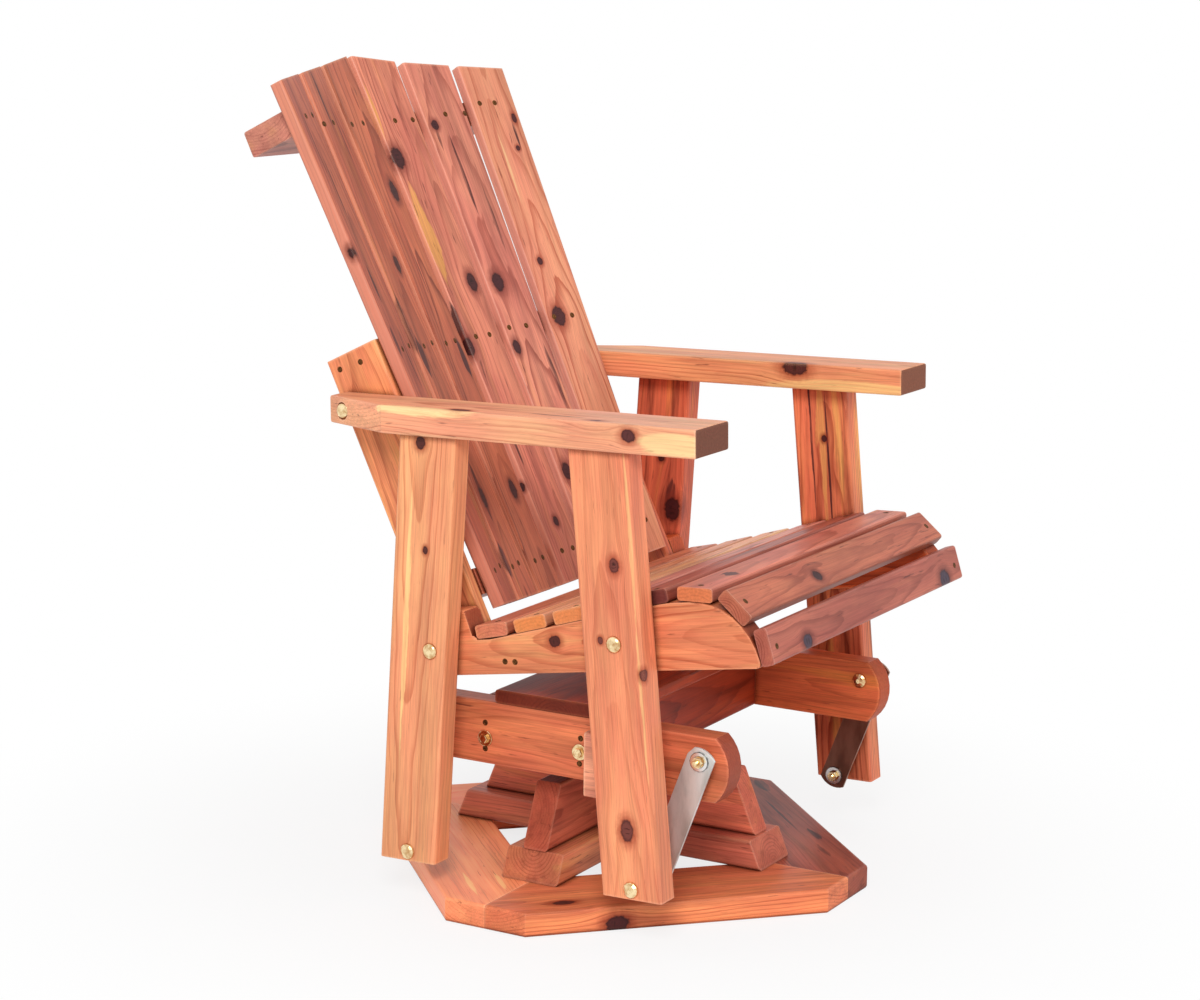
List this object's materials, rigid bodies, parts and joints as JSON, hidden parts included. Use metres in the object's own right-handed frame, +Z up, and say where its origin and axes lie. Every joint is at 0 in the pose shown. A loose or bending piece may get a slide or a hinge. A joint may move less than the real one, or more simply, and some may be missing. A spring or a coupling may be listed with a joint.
{
  "type": "swivel glider chair",
  "caption": "Cedar porch chair with a fanned slat back and contoured seat, hung on four steel links from a frame that swivels on a mitred ring base",
  "frame": {"origin": "on the floor, below the middle of the chair's bounding box", "axes": "+Z up, the sitter faces -Y, +X is the sitter's left side"},
  "size_m": [0.7312, 0.8786, 1.1403],
  "materials": {
    "cedar": "oiled, orange-red with dark knots and pale streaks",
    "cedar_dark": "oiled heartwood, purple-brown",
    "cedar_pale": "oiled, pinkish",
    "bright_steel": "bright zinc plate",
    "bronze_steel": "dark zinc plate",
    "gold_zinc": "yellow zinc plate",
    "black_steel": "satin black paint"
  },
  "bodies": {
    "base": {"ring_board_1": "cedar", "ring_board_2": "cedar", "ring_board_3": "cedar", "ring_board_4": "cedar", "foot_fore_aft": "cedar", "foot_across": "cedar", "pedestal_fore_aft": "cedar_dark", "pedestal_across": "cedar_dark", "swivel_lower_plate": "black_steel", "swivel_ball_ring": "bright_steel"},
    "glider_frame": {"swivel_upper_plate": "black_steel", "glider_rail_near": "cedar_dark", "glider_rail_far": "cedar_dark", "stretcher_front": "cedar", "stretcher_rear": "cedar", "deck_board": "cedar_dark", "stop_block_near": "cedar_pale", "stop_block_far": "cedar_pale", "upper_pivot_front_near": "gold_zinc", "upper_pivot_front_far": "gold_zinc", "upper_pivot_rear_near": "gold_zinc", "upper_pivot_rear_far": "gold_zinc"},
    "front_links": {"link_front_near": "bright_steel", "link_front_far": "bronze_steel"},
    "rear_links": {"link_rear_near": "bright_steel", "link_rear_far": "bronze_steel"},
    "seat": {"leg_front_near": "cedar", "leg_front_far": "cedar", "leg_rear_near": "cedar", "leg_rear_far": "cedar", "lower_pivot_front_near": "gold_zinc", "lower_pivot_front_far": "gold_zinc", "lower_pivot_rear_near": "gold_zinc", "lower_pivot_rear_far": "gold_zinc", "seat_rail_near": "cedar", "seat_rail_far": "cedar", "seat_brace": "cedar", "seat_slat_1": "cedar", "seat_slat_2": "cedar", "seat_slat_3": "cedar", "seat_slat_4": "cedar", "seat_slat_5": "cedar", "seat_slat_6": "cedar", "seat_slat_lip": "cedar_dark", "seat_slat_apron": "cedar_dark", "arm_near": "cedar", "arm_far": "cedar", "back_upright_near": "cedar", "back_upright_far": "cedar", "back_slat_near_1": "cedar", "back_slat_near_2": "cedar", "back_slat_near_3": "cedar", "back_slat_far_1": "cedar", "back_slat_far_2": "cedar", "back_slat_far_3": "cedar", "back_rail_top": "cedar", "back_rail_middle": "cedar", "back_rail_bottom": "cedar"}
  },
  "joints": [
    {"name": "swivel", "type": "hinge", "parent": "base", "child": "glider_frame", "pos_m": [0, -0.0455, 0.18], "axis": [0, 0, 1], "continuous": true},
    {"name": "glide", "type": "hinge", "parent": "glider_frame", "child": "front_links", "pos_m": [0, -0.3204, 0.2548], "axis": [1, 0, 0], "range_deg": [-17, 8.5]},
    {"name": "seat_tilt", "type": "hinge", "parent": "front_links", "child": "seat", "pos_m": [0, -0.25803, 0.08798], "axis": [1, 0, 0], "range_deg": [-11, 22]},
    {"name": "rear_glide", "type": "hinge", "parent": "glider_frame", "child": "rear_links", "pos_m": [0, 0.1294, 0.2548], "axis": [1, 0, 0], "range_deg": [-17.5, 9]}
  ],
  "couplings": [
    {"joint": "seat_tilt", "follows": "glide", "ratio": -1.278},
    {"joint": "rear_glide", "follows": "glide", "ratio": 1}
  ]
}
